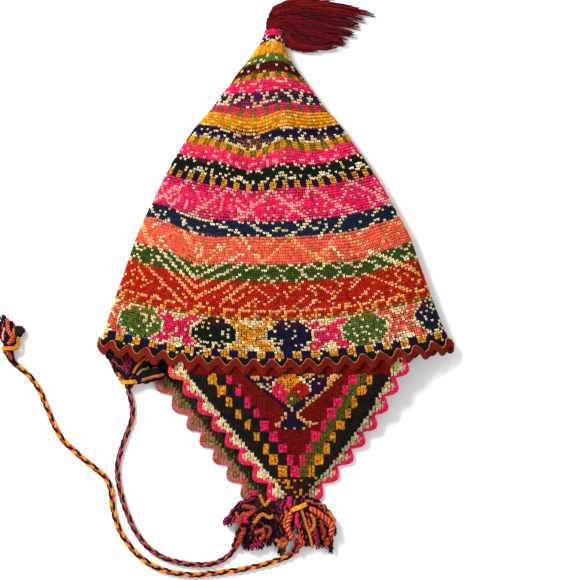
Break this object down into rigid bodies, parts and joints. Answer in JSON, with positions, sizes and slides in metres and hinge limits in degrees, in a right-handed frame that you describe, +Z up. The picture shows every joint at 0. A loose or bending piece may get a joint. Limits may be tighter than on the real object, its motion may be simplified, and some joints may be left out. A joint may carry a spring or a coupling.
{
  "type": "knitted ear-flap hat",
  "caption": "Hand-knitted wool chullo in bright bands, lying flat, with patterned ear flaps, wavy edgings, yarn tassels and braided ties.",
  "frame": {"origin": "bottom centre of the hat as it lies, without its loose ties, on the surface it rests on", "axes": "+Z up from the surface, +Y from the flaps to the tip of the crown, +X to the right as seen from above"},
  "size_m": [0.3481, 0.4388, 0.036],
  "materials": {
    "crown_wool": "stranded knit in hand-spun wool, banded colours",
    "red_wool": "knitted wool ribbon, dark red",
    "flap_wool": "stranded knit in hand-spun wool, dark red ground",
    "pink_wool": "knitted wool ribbon, hot pink",
    "maroon_yarn": "loose wool yarn, dark red",
    "mixed_yarn": "loose wool yarn in many colours, mostly black",
    "orange_yarn": "wound wool yarn, orange",
    "braid_yarn": "braided wool yarn in many colours"
  },
  "bodies": {
    "root": {"crown": "crown_wool", "rim_edging": "red_wool", "flap_front": "flap_wool", "flap_front_edging_left": "pink_wool", "flap_front_edging_right": "pink_wool", "flap_back": "flap_wool", "flap_back_edging_left": "pink_wool", "flap_back_edging_right": "pink_wool", "crown_tassel": "maroon_yarn", "flap_front_tassel": "mixed_yarn", "flap_back_tassel": "mixed_yarn", "flap_front_binding": "orange_yarn", "tie_front": "braid_yarn", "tie_front_end_tassel": "mixed_yarn", "tie_front_end_binding": "orange_yarn", "tie_back": "braid_yarn", "tie_back_end_tassel": "mixed_yarn", "tie_back_end_binding": "orange_yarn"}
  },
  "joints": []
}
